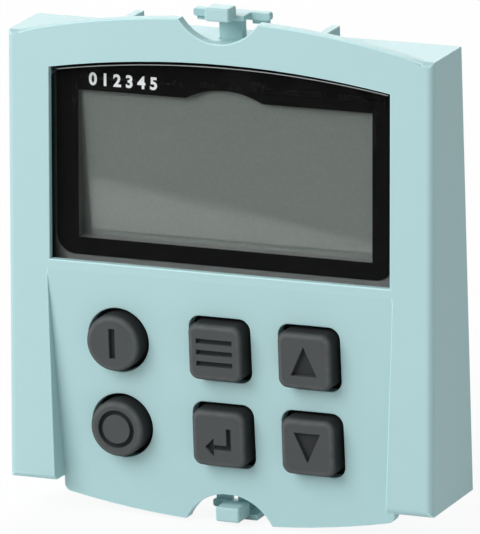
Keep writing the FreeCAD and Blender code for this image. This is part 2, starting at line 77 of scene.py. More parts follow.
# Limits for cleaning a copied mesh, in metres, square metres and radians.
SAME_POINT = 1e-7
SAME_PLACE = 0.00001
SLIVER_AREA = 5e-8
CHORD_LENGTH = 0.0004
BROAD_FACE = 15e-6                  # faces of this area and up are shaded flat
FLAT_ANGLE = math.radians(0.02)
SHARP_ANGLE = math.radians(35)

# Rings of a key's surface: round its edge, and where the painted shade on the key's sides fades
# out.
BEND_RINGS = 9
FADE_RINGS = 6
KEY_LIP = 0.00085                   # how far the flange stands out past the cap
FLANGE_CORNER_GAIN = 0.0002
SOFT_CORNER = 0.00008               # short slope at the flange's and the stem's corners
CORNER_SHRINK = 0.7                 # how fast the corner shrinks as the edge turns in
LEAST_CORNER = 0.0004

# Key symbols, in millimetres from the key's centre. A half is half a width or height.
STROKE_HALF = 0.25
BAR_HALF_WIDTH, BAR_HALF_HEIGHT = 0.33, 1.65
RING_RADIUS, RING_HALF_WIDTH = 1.865, 0.235
TRIANGLE_BASE, TRIANGLE_HEIGHT = 3.0, 3.2
MENU_HALF_WIDTH, MENU_PITCH = 2.1, 1.25
RETURN_LEVEL = 0.95                 # the arrow's level stroke lies this far below the centre
RETURN_UPRIGHT_X, RETURN_UPRIGHT_HALF = 1.25, 1.2
RETURN_STROKE_X, RETURN_STROKE_HALF = 0.475, 1.025
RETURN_HEAD_X, RETURN_HEAD_BASE, RETURN_HEAD_LENGTH = 1.025, 1.9, 0.95

# The bead on the lens, a pale strip that is a painted highlight along the arch: places along the
# arch, and points round it at each place.
BEAD_PLACES, BEAD_POINTS = 121, 12

# The printed numerals: height of a numeral in a text of size 1, stroke gain as a share of the
# height, and in metres the relief, the lift off the print and the start from the print's corner.
NUMERAL_SHARE, STROKE_GAIN = 0.73, 0.045
NUMERAL_RELIEF, NUMERAL_LIFT = 0.00001, 0.00002
NUMERALS_RIGHT, NUMERALS_DOWN = 0.0039, 0.0037

# The stage: gap that keeps the floor and the card apart from the foot, and the floor's reach.
FLOOR_GAP, FLOOR_REACH = 0.00005, 6.0
FLOOR_GLOW = 0.9                    # share of the floor's look that is its own glow


# ================================================================ sizes and colours
def length(name, description, value, most=0.1):
    return FloatProperty(name=name, description=description, default=value, min=0.0, max=most,
                         precision=5, subtype="DISTANCE", unit="LENGTH")


def colour(name, description, value):
    return FloatVectorProperty(name=name, description=description, default=value, size=3,
                               min=0.0, max=1.0, subtype="COLOR")


class PanelSizes(bpy.types.PropertyGroup):
    housing_edge: length("Housing edge", "Radius that breaks the moulding's sharp edges", 0.00012)
    latch_edge: length("Latch edge", "Radius that breaks the latches' sharp edges", 0.00008)
    lens_edge: length("Lens edge", "Radius along the rim of the window lens", 0.00006)
    lens_arch: length("Lens arch", "Radius of the arch of the lens's top edge", 0.1245, 1.0)
    bead_inset: length("Bead inset", "From the lens's edge in to its bead", 0.00105)
    bead_width: length("Bead width", "Width of the fine bead on the lens", 0.0001)
    key_cap_half: length("Key cap half width", "Half the width of a key's cap", 0.00315)
    key_corner: length("Key corner", "Corner radius of a square key, seen from the front", 0.00108)
    key_edge: length("Key edge", "Radius that rounds a key's face into its sides", 0.00062)
    key_reach: length("Key cap depth", "From a key's face back to its flange", 0.0036)
    key_flange: length("Key flange", "Thickness of the flange behind the front wall", 0.0008)
    key_stem: length("Key stem", "Radius of the round stem behind the flange", 0.0022)
    symbol_depth: length("Symbol depth", "Depth of the engraved key symbols", 0.00048)
    symbol_slope: length("Symbol slope", "Width over which a symbol's wall slopes", 0.00007)
    digit_height: length("Numeral height", "Height of the numerals printed above the display",
                         0.00135)
    around: IntProperty(name="Steps round a key", description="Points round a key's outline",
                        default=288, min=48, max=400)
    across: IntProperty(name="Steps across a key", description="Rings from a key's rim inwards",
                        default=84, min=16, max=160)


class PanelColours(bpy.types.PropertyGroup):
    housing: colour("Housing", "Pale blue-green plastic of the housing", (0.432, 0.640, 0.655))
    key: colour("Keys", "Dark grey silicone of the keys", (0.070, 0.076, 0.078))
    black: colour("Window print", "Black print round the display", (0.004, 0.004, 0.0042))
    display: colour("Display", "Grey-green film of the display", (0.112, 0.132, 0.119))
    numeral: colour("Numerals", "Pale print of the numerals", (0.70, 0.72, 0.73))
    digits: StringProperty(name="Numerals text", description="Plain numerals over the display",
                           default="0 1 2 3 4 5")


# ================================================================ shader groups
def new_group(name, inputs, outputs):
    """An empty shader node group with float inputs and the outputs named, and its two end nodes."""
    group = bpy.data.node_groups.new(name, "ShaderNodeTree")
    for label, value in inputs:
        socket = group.interface.new_socket(label, in_out="INPUT", socket_type="NodeSocketFloat")
        socket.default_value = value
    for label, kind in outputs:
        group.interface.new_socket(label, in_out="OUTPUT", socket_type=kind)
    return group, group.nodes.new("NodeGroupInput"), group.nodes.new("NodeGroupOutput")


def noise(tree, vector, scale, detail=2.0, rough=0.5):
    node = tree.nodes.new("ShaderNodeTexNoise")
    node.inputs["Detail"].default_value = detail
    node.inputs["Roughness"].default_value = rough
    tree.links.new(vector, node.inputs["Vector"])
    if isinstance(scale, float):
        node.inputs["Scale"].default_value = scale
    else:
        tree.links.new(scale, node.inputs["Scale"])
    return node.outputs["Fac"]


def ramp(tree, value, low, high, out_low=0.0, out_high=1.0):
    """The value's part between low and high, spread over out_low to out_high."""
    node = tree.nodes.new("ShaderNodeMapRange")
    node.inputs["From Min"].default_value = low
    node.inputs["From Max"].default_value = high
    node.inputs["To Min"].default_value = out_low
    node.inputs["To Max"].default_value = out_high
    tree.links.new(value, node.inputs["Value"])
    return node.outputs["Result"]


def maths(tree, operation, a, b):
    node = tree.nodes.new("ShaderNodeMath")
    node.operation = operation
    for value, socket in ((a, node.inputs[0]), (b, node.inputs[1])):
        if isinstance(value, float):
            socket.default_value = value
        else:
            tree.links.new(value, socket)
    return node.outputs[0]


def grain_group():
    """Moulding grain: a fine height pattern, a slow change of tone and a roughness."""
    tree, start, end = new_group(
        "Moulded grain",
        [("Grain Scale", 6500.0), ("Tone Scale", 130.0), ("Roughness", 0.5), ("Spread", 0.08)],
        [("Height", "NodeSocketFloat"), ("Tone", "NodeSocketFloat"),
         ("Roughness", "NodeSocketFloat")])
    where = tree.nodes.new("ShaderNodeTexCoord").outputs["Object"]
    fine = noise(tree, where, start.outputs["Grain Scale"], 3.0, 0.6)
    slow = noise(tree, where, start.outputs["Tone Scale"], 4.0, 0.55)
    tree.links.new(fine, end.inputs["Height"])
    tree.links.new(slow, end.inputs["Tone"])
    swing = maths(tree, "MULTIPLY", maths(tree, "SUBTRACT", slow, 0.5), start.outputs["Spread"])
    tree.links.new(maths(tree, "ADD", swing, start.outputs["Roughness"]), end.inputs["Roughness"])
    return tree


def rim_wear_and_highlight_group():
    """Edge wear with a painted highlight: a mask that is 1 on raised edges, broken up by a fine
    pattern.
    """
    tree, start, end = new_group("Rubbed edges and painted highlight", [("Edge", 0.0), ("Low", 0.1), ("High", 0.9),
                                                  ("Break", 900.0)],
                                 [("Mask", "NodeSocketFloat")])
    spread = tree.nodes.new("ShaderNodeMapRange")
    tree.links.new(start.outputs["Edge"], spread.inputs["Value"])
    tree.links.new(start.outputs["Low"], spread.inputs["From Min"])
    tree.links.new(start.outputs["High"], spread.inputs["From Max"])
    where = tree.nodes.new("ShaderNodeTexCoord").outputs["Object"]
    broken = ramp(tree, noise(tree, where, start.outputs["Break"], 3.0, 0.6), 0.3, 0.65, 0.35, 1.0)
    mask = maths(tree, "MULTIPLY", spread.outputs["Result"], broken)
    tree.links.new(mask, end.inputs["Mask"])
    return tree


def dust_group():
    """Dust: sparse fine specks, more of them on surfaces that face up."""
    tree, start, end = new_group("Fine dust", [("Scale", 2600.0), ("Amount", 0.3)],
                                 [("Mask", "NodeSocketFloat")])
    where = tree.nodes.new("ShaderNodeTexCoord").outputs["Object"]
    cells = tree.nodes.new("ShaderNodeTexVoronoi")
    tree.links.new(where, cells.inputs["Vector"])
    tree.links.new(start.outputs["Scale"], cells.inputs["Scale"])
    specks = ramp(tree, cells.outputs["Distance"], 0.16, 0.05)
    patch = ramp(tree, noise(tree, where, 420.0, 3.0, 0.6), 0.5, 0.68)
    parts = tree.nodes.new("ShaderNodeSeparateXYZ")
    tree.links.new(tree.nodes.new("ShaderNodeNewGeometry").outputs["Normal"], parts.inputs[0])
    up = ramp(tree, parts.outputs["Z"], -0.2, 1.0, 0.45, 1.0)
    mask = maths(tree, "MULTIPLY", maths(tree, "MULTIPLY", specks, patch), up)
    tree.links.new(maths(tree, "MULTIPLY", mask, start.outputs["Amount"]), end.inputs["Mask"])
    return tree


GROUPS = {}


def shared(name, maker):
    if name not in GROUPS:
        GROUPS[name] = maker()
    return GROUPS[name]


def mix_colour(tree, factor, a, b):
    """Colour a where factor is 0 and b where it is 1; each may be a socket or three numbers."""
    node = tree.nodes.new("ShaderNodeMix")
    node.data_type = "RGBA"
    tree.links.new(factor, node.inputs["Factor"])
    for value, socket in ((a, node.inputs["A"]), (b, node.inputs["B"])):
        if isinstance(value, bpy.types.NodeSocket):
            tree.links.new(value, socket)
        else:
            socket.default_value = (*value, 1.0)
    return node.outputs["Result"]


def mask_of(tree, label):
    """A mask that the piece's mesh carries."""
    node = tree.nodes.new("ShaderNodeAttribute")
    node.attribute_name = label
    return node.outputs["Fac"]


def shade(value, factor):
    return tuple(min(1.0, c * factor) for c in value)


def finish_material(name, tint, roughness, grain=6500.0, tone=130.0, depth=0.00001,
                    strength=0.2, swing=0.04, rim=None, rim_wear_highlight_mix=0.0, dust=0.0, dust_tint=None,
                    spread=0.08, **plain):
    """A Principled finish with moulding grain, slow tone, rubbed edges with a painted highlight,
    painted shade and fine dust.

    A finish with a rim colour is for a piece whose mesh carries rim, groove and flank masks: the
    rim takes that colour as rubbed wear and a painted highlight, and the groove and the flank are
    darkened with painted shade over the dust.
    the Principled sockets that are the same all over the surface.
    """
    mat = bpy.data.materials.new(name)
    mat.use_nodes = True
    tree = mat.node_tree
    skin = tree.nodes["Principled BSDF"]
    texture = tree.nodes.new("ShaderNodeGroup")
    texture.node_tree = shared("grain", grain_group)
    texture.inputs["Grain Scale"].default_value = grain
    texture.inputs["Tone Scale"].default_value = tone
    texture.inputs["Roughness"].default_value = roughness
    texture.inputs["Spread"].default_value = spread
    colour_now = mix_colour(tree, texture.outputs["Tone"], shade(tint, 1 - swing),
                            shade(tint, 1 + swing))
    # A lighter colour on the raised rim: partly rubbed wear, partly a painted highlight.
    if rim is not None:
        edge = tree.nodes.new("ShaderNodeGroup")
        edge.node_tree = shared("rim", rim_wear_and_highlight_group)
        tree.links.new(mask_of(tree, "rim"), edge.inputs["Edge"])
        share = maths(tree, "MULTIPLY", edge.outputs["Mask"], rim_wear_highlight_mix)
        colour_now = mix_colour(tree, share, colour_now, rim)
    if dust:
        specks = tree.nodes.new("ShaderNodeGroup")
        specks.node_tree = shared("dust", dust_group)
        specks.inputs["Amount"].default_value = dust
        colour_now = mix_colour(tree, specks.outputs["Mask"], colour_now,
                                dust_tint or (0.7, 0.7, 0.7))
    if rim is not None:
        # Painted shade: the symbol grooves and the key's sides are darkened towards a fifth of the
        # tint.
        for label, share in (("groove", 0.75), ("flank", 0.9)):
            dark = maths(tree, "MULTIPLY", mask_of(tree, label), share)
            colour_now = mix_colour(tree, dark, colour_now, shade(tint, 0.2))
    tree.links.new(colour_now, skin.inputs["Base Color"])
    tree.links.new(texture.outputs["Roughness"], skin.inputs["Roughness"])
    bump = tree.nodes.new("ShaderNodeBump")
    bump.inputs["Strength"].default_value = strength
    bump.inputs["Distance"].default_value = depth
    tree.links.new(texture.outputs["Height"], bump.inputs["Height"])
    tree.links.new(bump.outputs["Normal"], skin.inputs["Normal"])
    for label, value in plain.items():
        skin.inputs[label.replace("_", " ")].default_value = value
    return mat


def shadeless(mat):
    """The same finish, but it lets the lamps' rays through unbent and throws no shadow."""
    tree = mat.node_tree
    end = tree.nodes["Material Output"]
    skin = tree.nodes["Principled BSDF"]
    through = tree.nodes.new("ShaderNodeBsdfTransparent")
    path = tree.nodes.new("ShaderNodeLightPath")
    both = tree.nodes.new("ShaderNodeMixShader")
    tree.links.new(path.outputs["Is Shadow Ray"], both.inputs[0])
    tree.links.new(skin.outputs[0], both.inputs[1])
    tree.links.new(through.outputs[0], both.inputs[2])
    tree.links.new(both.outputs[0], end.inputs["Surface"])
    return mat


MATERIALS = {}


def material(name):
    """The finish of that name, made once."""
    if name in MATERIALS:
        return MATERIALS[name]
    c = bpy.context.scene.panel_colours
    plans = {
        "housing plastic": lambda n: finish_material(
            n, tuple(c.housing), 0.46, grain=5200.0, tone=90.0, depth=0.000012, strength=0.22,
            swing=0.012, dust=0.1, dust_tint=(0.7, 0.8, 0.8), Specular_IOR_Level=0.2),
        # Painted highlight: the housing colour made 1.22 times lighter for the broken edges'
        # strips, a lit copy of the plastic.
        "housing painted edge highlight": lambda n: finish_material(
            n, shade(c.housing, 1.22), 0.4, grain=5200.0, tone=900.0, depth=0.000006,
            strength=0.2, swing=0.08, Specular_IOR_Level=0.4),
        # Key silicone: a lighter rim that is partly rubbed wear and partly a painted highlight,
        # with painted shade in the symbol grooves and on the key's sides.
        "key silicone": lambda n: finish_material(
            n, tuple(c.key), 0.66, grain=7000.0, tone=420.0, depth=0.000014, strength=0.3,
            swing=0.08, rim=(0.17, 0.175, 0.175), rim_wear_highlight_mix=0.35, dust=0.4,
            dust_tint=(0.24, 0.24, 0.23), Specular_IOR_Level=0.22),
        "mat silicone": lambda n: finish_material(n, (0.045, 0.048, 0.05), 0.6, swing=0.1),
        "window print": lambda n: finish_material(
            n, tuple(c.black), 0.3, grain=3000.0, depth=0.000002, strength=0.05, swing=0.1,
            spread=0.03, Specular_IOR_Level=0.02),
        "black tape": lambda n: finish_material(n, (0.012, 0.012, 0.012), 0.6, swing=0.1),
        "display film": lambda n: finish_material(
            n, tuple(c.display), 0.05, grain=2600.0, tone=4200.0, depth=0.0000003, strength=0.03,
            swing=0.16, spread=0.01, Specular_IOR_Level=1.0),
        "numeral print": lambda n: finish_material(n, tuple(c.numeral), 0.5, swing=0.02),
        "frame plastic": lambda n: finish_material(n, (0.085, 0.093, 0.091), 0.5, swing=0.08),
        "display glass": lambda n: finish_material(
            n, (0.075, 0.084, 0.08), 0.1, grain=800.0, depth=0.000001, strength=0.02, swing=0.05),
        "lens acrylic": lambda n: shadeless(finish_material(
            n, (1.0, 1.0, 1.0), 0.01, grain=900.0, depth=0.000001, strength=0.02, swing=0.0,
            spread=0.01, Transmission_Weight=1.0, IOR=1.25)),
        # Painted highlight: a pale grey for the bead that stands in for light along the window's
        # rim.
        "lens painted highlight": lambda n: finish_material(
            n, (0.5, 0.53, 0.53), 0.3, grain=2500.0, tone=1500.0, swing=0.25),
        "light guide": lambda n: finish_material(n, (0.75, 0.78, 0.78), 0.15, swing=0.02),
        "white film": lambda n: finish_material(n, (0.8, 0.8, 0.8), 0.4, swing=0.02),
        "lamp resin": lambda n: finish_material(n, (0.8, 0.76, 0.45), 0.2, swing=0.05),
        "striped silicone": lambda n: finish_material(n, (0.35, 0.1, 0.13), 0.6, swing=0.1),
        "board laminate": lambda n: finish_material(
            n, (0.02, 0.16, 0.06), 0.3, grain=1200.0, tone=500.0, swing=0.15, Coat_Weight=0.4),
        "carbon print": lambda n: finish_material(n, (0.015, 0.015, 0.016), 0.7, swing=0.2),
        "chip resin": lambda n: finish_material(n, (0.022, 0.022, 0.024), 0.6, swing=0.2),
        "crystal can": lambda n: finish_material(
            n, (0.62, 0.61, 0.58), 0.3, grain=2500.0, swing=0.04, Metallic=1.0),
        "resistor ceramic": lambda n: finish_material(n, (0.02, 0.02, 0.025), 0.4, swing=0.2),
        "capacitor ceramic": lambda n: finish_material(n, (0.42, 0.27, 0.15), 0.5, swing=0.1),
        "socket plastic": lambda n: finish_material(n, (0.03, 0.03, 0.032), 0.5, swing=0.1),
        "contact brass": lambda n: finish_material(
            n, (0.72, 0.52, 0.22), 0.3, grain=3000.0, swing=0.06, Metallic=1.0),
        "screw steel": lambda n: finish_material(
            n, (0.55, 0.55, 0.56), 0.34, grain=3500.0, tone=900.0, swing=0.06, spread=0.2,
            Metallic=1.0),
    }
    MATERIALS[name] = plans[name](name)
    return MATERIALS[name]


# ================================================================ mesh helpers
def settle(name, body, mesh, finish, replaced):
    """Links a finished mesh as a piece that rides on a body and stands for some CAD nodes."""
    piece = bpy.data.objects.new(name, mesh)
    bpy.context.scene.collection.objects.link(piece)
    mesh.materials.clear()
    mesh.materials.append(material(finish))
    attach(piece, body)
    if replaced:
        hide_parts(*replaced)
    return piece


def run_out_arch(work, end_x):
    """Brings the arch's front edge onto the corner's round at both ends, without a step.

    The slivers left there lose the long edges between them, so that they make one flat face.
    """
    for side in (-1, 1):
        ring = [vert for vert in work.verts if abs(vert.co.x - side * end_x) < SAME_PLACE]
        tip = max(ring, key=lambda vert: vert.co.z - vert.co.y)
        ring.remove(tip)
        tip.co = min(ring, key=lambda vert: (vert.co - tip.co).length).co
    bmesh.ops.remove_doubles(work, verts=work.verts, dist=SAME_POINT)
    slivers = {face for face in work.faces if face.calc_area() < SLIVER_AREA
               and all(abs(abs(vert.co.x) - end_x) < SAME_PLACE for vert in face.verts)}
    chords = [edge for edge in work.edges
              if edge.calc_length() > CHORD_LENGTH and slivers.intersection(edge.link_faces)]
    bmesh.ops.dissolve_edges(work, edges=chords)


def face_out(mesh):
    """Turns a closed mesh's faces outwards and shades them smooth."""
    work = bmesh.new()
    work.from_mesh(mesh)
    bmesh.ops.recalc_face_normals(work, faces=work.faces)
    work.to_mesh(mesh)
    work.free()
    mesh.polygons.foreach_set("use_smooth", np.ones(len(mesh.polygons), dtype=bool))
    mesh.update()


def face_depth(z, low):
    """Depth of a leaning front face at a height, from the low corner of its piece's box."""
    return low.y + math.tan(LEAN) * (z - low.z)


def broken_edges(node, name, body, finish, edge_finish, radius, change=None):
    """A merged copy of a CAD node whose outer edges carry a small radius and their own finish; for
    the housing and latches that finish is the plastic made lighter, a painted highlight along the
    broken edges.

    change is a function that alters the copy's mesh before its edges are marked.
    """
    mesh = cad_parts[node].data.copy()
    mesh.name = name
    work = bmesh.new()
    work.from_mesh(mesh)
    bmesh.ops.remove_doubles(work, verts=work.verts, dist=SAME_POINT)
    bmesh.ops.dissolve_limit(work, angle_limit=FLAT_ANGLE, verts=work.verts, edges=work.edges)
    if change:
        change(work)
    for face in work.faces:
        face.smooth = face.calc_area() < BROAD_FACE
    weight = work.edges.layers.float.new("bevel_weight_edge")
    sharp = {edge for edge in work.edges
             if edge.is_manifold and edge.calc_face_angle() > SHARP_ANGLE}
    outer = {edge for edge in sharp if edge.is_convex}
    for edge in work.edges:
        edge[weight] = float(edge in outer)
        edge.smooth = edge not in sharp
    work.to_mesh(mesh)
    work.free()
    piece = settle(name, body, mesh, finish, [node])
    bevel = piece.modifiers.new("Broken edges", "BEVEL")
    bevel.width = radius
    bevel.segments = 3
    bevel.limit_method = "WEIGHT"
    bevel.use_clamp_overlap = False
    bevel.loop_slide = False
    # The bevel strips take the edge finish; on the housing and latches it is a painted highlight.
    bevel.material = len(mesh.materials)
    mesh.materials.append(material(edge_finish))
    flat = piece.modifiers.new("Flat faces", "WEIGHTED_NORMAL")
    flat.weight = 100
    flat.keep_sharp = True
    return piece


def paint(names):
    """Gives carried-over CAD nodes their finishes, from {node: finish}."""
    for node, finish in names.items():
        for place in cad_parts[node].material_slots:
            place.material = material(finish)


# ================================================================ keys
def outline(angle, half, corner, square):
    """Distance from a key's centre to its outline at each angle.

    A round key has one distance. A square one has the distance to its straight side, and in
    a corner the distance to the corner's circle, which is where a ray from the centre meets it.
    """
    if not square:
        return np.full_like(angle, half)
    c = np.abs(np.cos(angle))
    s = np.abs(np.sin(angle))
    inner = half - corner
    side = half / np.maximum(c, s)
    gap = np.maximum(corner ** 2 - (inner * (c - s)) ** 2, 0)
    bend = inner * (c + s) + np.sqrt(gap)
    in_corner = side * np.minimum(c, s) > inner
    return np.where(in_corner, bend, side)


def box_distance(x, z, half_x, half_z):
    """Signed distance to an upright rectangle: below 0 inside it."""
    dx = np.abs(x) - half_x
    dz = np.abs(z) - half_z
    outside = np.hypot(np.maximum(dx, 0), np.maximum(dz, 0))
    return outside + np.minimum(np.maximum(dx, dz), 0)


def wedge_distance(x, z, base, height):
    """Signed distance to a triangle with its base below and its tip above, by its three sides."""
    slope = math.hypot(height, base / 2)
    side = (np.abs(x) * height + (z - height / 2) * base / 2) / slope
    return np.maximum(side, -z - height / 2)


def symbol_distance(mark, x, z):
    """Signed distance to a key's symbol, in millimetres from the key's centre."""
    if mark == "bar":
        return box_distance(x, z, BAR_HALF_WIDTH, BAR_HALF_HEIGHT)
    if mark == "ring":
        return np.abs(np.hypot(x, z) - RING_RADIUS) - RING_HALF_WIDTH
    if mark == "up":
        return wedge_distance(x, z, TRIANGLE_BASE, TRIANGLE_HEIGHT)
    if mark == "down":
        return wedge_distance(x, -z, TRIANGLE_BASE, TRIANGLE_HEIGHT)
    if mark == "menu":
        return np.minimum.reduce([
            box_distance(x, z - i * MENU_PITCH, MENU_HALF_WIDTH, STROKE_HALF) for i in (-1, 0, 1)])
    below = z + RETURN_LEVEL
    upright = box_distance(x - RETURN_UPRIGHT_X, z, STROKE_HALF, RETURN_UPRIGHT_HALF)
    level = box_distance(x - RETURN_STROKE_X, below, RETURN_STROKE_HALF, STROKE_HALF)
    head = wedge_distance(below, -(x + RETURN_HEAD_X), RETURN_HEAD_BASE, RETURN_HEAD_LENGTH)
    return np.minimum.reduce([upright, level, head])


def key_mesh(name, centre_x, centre_z, face, back, square, mark, sizes):
    """One closed surface of rings round the key's axis.

    Each ring is the outline at some half width and depth. The rings run from the middle of the
    stem's end along the stem, over the flange, up the cap's side, round its edge in a quarter
    circle and in over the face, where the symbol's signed distance sinks the surface.
    """
    turn = np.linspace(0, 2 * math.pi, sizes.around, endpoint=False)
    half, corner, edge = sizes.key_cap_half, sizes.key_corner, sizes.key_edge
    flange_half = half + KEY_LIP
    flange_front = face + sizes.key_reach
    flange_back = flange_front + sizes.key_flange
    stem = outline(turn, sizes.key_stem, corner, False)
    flange = outline(turn, flange_half, corner + FLANGE_CORNER_GAIN, square)
    cap = outline(turn, half, corner, square)
    soft = SOFT_CORNER
    reach = [stem * 0.5, stem - soft, stem, stem, flange - soft, flange, flange, flange - soft,
             cap, cap]
    depth = [back, back, back - soft, flange_back, flange_back, flange_back - soft,
             flange_front + soft, flange_front, flange_front, face + edge]
    straight = len(reach)
    for step in np.linspace(0, math.pi / 2, BEND_RINGS + 1)[1:]:
        inset = edge * (1 - math.cos(step))
        bend_corner = max(corner - inset * CORNER_SHRINK, LEAST_CORNER)
        reach.append(outline(turn, half - inset, bend_corner, square))
        depth.append(face + edge * (1 - math.sin(step)))
    rim = reach[-1]
    for share in np.linspace(1, 0, sizes.across + 1)[1:-1]:
        reach.append(rim * share)
        depth.append(face)
    reach = np.array(reach)
    depth = np.repeat(np.array(depth)[:, None], sizes.around, axis=1)
    x = reach * np.cos(turn)
    z = reach * np.sin(turn)
    far = symbol_distance(mark, x / MM, z / MM) * MM
    blend = np.clip(0.5 - far / sizes.symbol_slope, 0, 1)
    sunk = sizes.symbol_depth * blend ** 2 * (3 - 2 * blend)
    on_face = np.arange(len(depth))[:, None] >= len(depth) - sizes.across
    depth = depth + np.where(on_face, sunk, 0)
    rings, count = reach.shape
    verts = np.stack([centre_x + x, depth, centre_z + z], axis=-1).reshape(-1, 3)
    middle = symbol_distance(mark, np.zeros(1), np.zeros(1))[0]
    sink = sizes.symbol_depth if middle < 0 else 0.0
    poles = [[centre_x, back, centre_z], [centre_x, face + sink, centre_z]]
    verts = np.vstack([verts, poles])
    i, j = np.meshgrid(np.arange(rings - 1), np.arange(count), indexing="ij")
    a = i * count + j
    b = i * count + (j + 1) % count
    quads = np.stack([a, a + count, b + count, b], axis=-1).reshape(-1, 4)
    first = np.arange(count)
    last = (rings - 1) * count + first
    step = (first + 1) % count
    start = np.full(count, rings * count)
    end = start + 1
    fans = np.vstack([np.stack([start, first, step], axis=1),
                      np.stack([end, last - first + step, last], axis=1)])
    mesh = bpy.data.meshes.new(name)
    mesh.from_pydata(verts.tolist(), [], quads.tolist() + fans.tolist())
    # Mask of the rounded edge, for rubbed wear and a painted highlight.
    rim_wear_and_highlight = np.zeros(reach.shape)
    rim_wear_and_highlight[straight - 1:straight + BEND_RINGS + 1] = np.sin(
        np.linspace(0, math.pi, BEND_RINGS + 2))[:, None]
    # Painted shade on the stem, the flange and the cap's sides, fading out over the first rings of
    # the edge's round.
    flank = np.zeros(reach.shape)
    flank[:straight] = 1.0
    flank[straight:straight + FADE_RINGS] = np.linspace(0.85, 0.0, FADE_RINGS)[:, None]
    # The groove and flank masks carry painted shade; the rim mask carries wear and a painted
    # highlight.
    for label, values in (("rim", rim_wear_and_highlight), ("groove", np.where(on_face, blend, 0)),
                          ("flank", flank)):
        flat = np.append(values.ravel(), [0.0, 0.0])
        mesh.attributes.new(label, "FLOAT", "POINT").data.foreach_set("value", flat)
    face_out(mesh)
    return mesh


KEY_FORMS = {
    "key_on": (False, "bar"),
    "key_off": (False, "ring"),
    "key_function": (True, "menu"),
    "key_parameter": (True, "return"),
    "key_up": (True, "up"),
    "key_down": (True, "down"),
}


# ================================================================ operators
class PANEL_OT_housing(bpy.types.Operator):
    """Builds the front housing and rear cover with broken edges"""
    bl_idname = "panel.housing"
    bl_label = "Housing and rear cover"

    def execute(self, context):
        edge = context.scene.panel_sizes.housing_edge
        end = cad_high.x - SIDE_COLUMN
        for node, name, change in (
                ("front_housing", "housing_moulding", lambda work: run_out_arch(work, end)),
                ("rear_cover", "cover_moulding", None)):
            # The broken edges take a painted highlight, a lighter copy of the plastic.
            broken_edges(node, name, "panel", "housing plastic",
                         "housing painted edge highlight", edge, change)
        paint({"cover_screws": "screw steel"})
        return {"FINISHED"}


class PANEL_OT_latches(bpy.types.Operator):
    """Builds the two snap latches with broken edges"""
    bl_idname = "panel.latches"
    bl_label = "Snap latches"

    def execute(self, context):
        for side in ("top", "bottom"):
            # The broken edges take a painted highlight, a lighter copy of the plastic.
            broken_edges("latch_" + side, "snap_latch_" + side, "latch_" + side + "_body",
                         "housing plastic", "housing painted edge highlight",
                         context.scene.panel_sizes.latch_edge)
        return {"FINISHED"}


class PANEL_OT_keys(bpy.types.Operator):
    """Builds the six silicone keys and finishes their contacts"""
    bl_idname = "panel.keys"
    bl_label = "Keys"

    def execute(self, context):
        sizes = context.scene.panel_sizes
        for node, (square, mark) in KEY_FORMS.items():
            low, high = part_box(node)
            middle = (low + high) / 2
            mesh = key_mesh(node + "_cap", middle.x, middle.z, low.y, high.y, square, mark, sizes)
            settle(node + "_cap", node + "_body", mesh, "key silicone", [node])
            paint({node + "_pill": "carbon print"})
        paint({"keypad_mat": "mat silicone", "keypad_contacts": "carbon print"})
        return {"FINISHED"}


